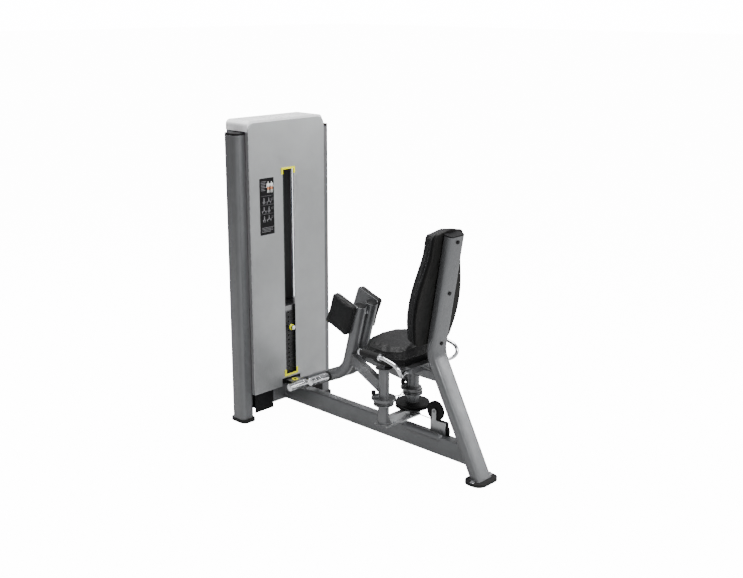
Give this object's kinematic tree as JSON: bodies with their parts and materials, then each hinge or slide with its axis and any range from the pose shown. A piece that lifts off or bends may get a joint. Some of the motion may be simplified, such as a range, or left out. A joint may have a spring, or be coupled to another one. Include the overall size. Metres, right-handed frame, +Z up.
{
  "type": "hip abductor machine",
  "caption": "Seated hip abduction and adduction machine with a shrouded weight stack, base beam, padded seat and mirrored leg arms.",
  "frame": {"origin": "on the floor, under the middle of the machine", "axes": "+Z up, +Y from the seat towards the weight stack tower, +X to the seated user's right"},
  "size_m": [0.65, 1.52, 1.566],
  "materials": {
    "frame_paint": "silver-grey metallic powder coat",
    "shroud_paint": "satin silver paint on sheet steel",
    "hood_plastic": "white moulding",
    "black_plastic": "satin black moulding",
    "black_rubber": "ribbed black rubber",
    "upholstery": "grained black vinyl over foam",
    "chrome": "polished chrome plate",
    "steel": "zinc-plated steel",
    "stack_iron": "black painted weight plates",
    "accent_yellow": "yellow moulding",
    "board_wood": "black stained plywood",
    "cable_sheath": "black coated steel cable"
  },
  "bodies": {
    "root": {"left_column": "frame_paint", "right_column": "frame_paint", "column_caps": "black_plastic", "column_feet": "black_rubber", "top_crossmember": "frame_paint", "bottom_crossmember": "frame_paint", "kick_plates": "black_plastic", "stack_base": "frame_paint", "front_shroud": "shroud_paint", "rear_shroud": "frame_paint", "top_hood": "hood_plastic", "slot_brackets": "accent_yellow", "placard": "black_plastic", "outlet_box": "black_plastic", "outlet_plate": "frame_paint", "outlet_ring": "accent_yellow", "guide_rods": "chrome", "rod_bumpers": "black_rubber", "resting_plates": "stack_iron", "base_beam": "frame_paint", "beam_cover": "frame_paint", "rear_post": "frame_paint", "post_cap": "black_plastic", "rear_foot": "black_rubber", "hub_base": "frame_paint", "hub_caps": "frame_paint", "seat_rail": "frame_paint", "seat_pan": "black_plastic", "seat_cushion": "upholstery", "backrest_board": "board_wood", "backrest_cushion": "upholstery", "backrest_bolts": "steel", "handles": "chrome", "grips": "black_rubber", "rear_pulley_bracket": "frame_paint", "drive_cable": "cable_sheath", "stack_cable": "cable_sheath", "sync_cables": "cable_sheath"},
    "carriage": {"head_plate": "stack_iron", "lifted_plates": "stack_iron", "selector_stem": "chrome"},
    "pin": {"selector_pin": "chrome"},
    "tension_wheel": {"tension_pulley": "black_plastic"},
    "turn_wheel": {"turn_pulley": "black_plastic"},
    "low_wheel": {"low_pulley": "black_plastic"},
    "top_wheel": {"top_pulley": "black_plastic"},
    "left_arm": {"left_hub_sleeve": "frame_paint", "left_arm_brace": "frame_paint", "left_leg_tube": "frame_paint", "left_foot_pegs": "chrome"},
    "right_arm": {"right_hub_sleeve": "frame_paint", "right_arm_brace": "frame_paint", "right_leg_tube": "frame_paint", "right_foot_pegs": "chrome"},
    "left_pad": {"left_pad_plate": "frame_paint", "left_thigh_pad": "upholstery"},
    "right_pad": {"right_pad_plate": "frame_paint", "right_thigh_pad": "upholstery"},
    "left_knob": {"left_plunger": "black_plastic"},
    "right_knob": {"right_plunger": "black_plastic"}
  },
  "joints": [
    {"name": "left_arm_swing", "type": "hinge", "parent": "root", "child": "left_arm", "pos_m": [-0.105, -0.187, 0.35], "axis": [0, 0, 1], "range_deg": [0, 50]},
    {"name": "right_arm_swing", "type": "hinge", "parent": "root", "child": "right_arm", "pos_m": [0.105, -0.187, 0.35], "axis": [0, 0, 1], "range_deg": [-50, 0]},
    {"name": "stack_lift", "type": "slide", "parent": "root", "child": "carriage", "axis": [0, 0, 1], "range_m": [0, 0.07], "deforming": ["stack_cable"]},
    {"name": "selector_pin_pull", "type": "slide", "parent": "carriage", "child": "pin", "axis": [0, -1, 0], "range_m": [0, 0.075]},
    {"name": "tension_wheel_spin", "type": "hinge", "parent": "root", "child": "tension_wheel", "pos_m": [0.016, -0.412, 0.2611], "axis": [1, 0, 0], "range_deg": [0, 90]},
    {"name": "turn_wheel_spin", "type": "hinge", "parent": "root", "child": "turn_wheel", "pos_m": [0.016, -0.455, 0.1735], "axis": [1, 0, 0], "range_deg": [-105, 0]},
    {"name": "low_wheel_spin", "type": "hinge", "parent": "root", "child": "low_wheel", "pos_m": [0, 0.705, 0.1635], "axis": [1, 0, 0], "range_deg": [-140, 0]},
    {"name": "top_wheel_spin", "type": "hinge", "parent": "root", "child": "top_wheel", "pos_m": [0, 0.695, 1.385], "axis": [1, 0, 0], "range_deg": [-105, 0]},
    {"name": "left_pad_tilt", "type": "hinge", "parent": "left_arm", "child": "left_pad", "pos_m": [-0.0705, 0.0404, 0.66], "axis": [1, 0, 0], "range_deg": [-12, 12]},
    {"name": "right_pad_tilt", "type": "hinge", "parent": "right_arm", "child": "right_pad", "pos_m": [0.0705, 0.0404, 0.66], "axis": [1, 0, 0], "range_deg": [-12, 12]},
    {"name": "left_knob_pull", "type": "slide", "parent": "left_arm", "child": "left_knob", "axis": [0, 0, 1], "range_m": [0, 0.012], "stiffness_N_per_m": 400},
    {"name": "right_knob_pull", "type": "slide", "parent": "right_arm", "child": "right_knob", "axis": [0, 0, 1], "range_m": [0, 0.012], "stiffness_N_per_m": 400}
  ],
  "couplings": [
    {"joint": "right_arm_swing", "follows": "left_arm_swing", "ratio": -1},
    {"joint": "stack_lift", "follows": "left_arm_swing", "m_per_rad": 0.08},
    {"joint": "tension_wheel_spin", "follows": "left_arm_swing", "ratio": 1.7391},
    {"joint": "turn_wheel_spin", "follows": "left_arm_swing", "ratio": -2},
    {"joint": "low_wheel_spin", "follows": "left_arm_swing", "ratio": -2.6667},
    {"joint": "top_wheel_spin", "follows": "left_arm_swing", "ratio": -2}
  ]
}
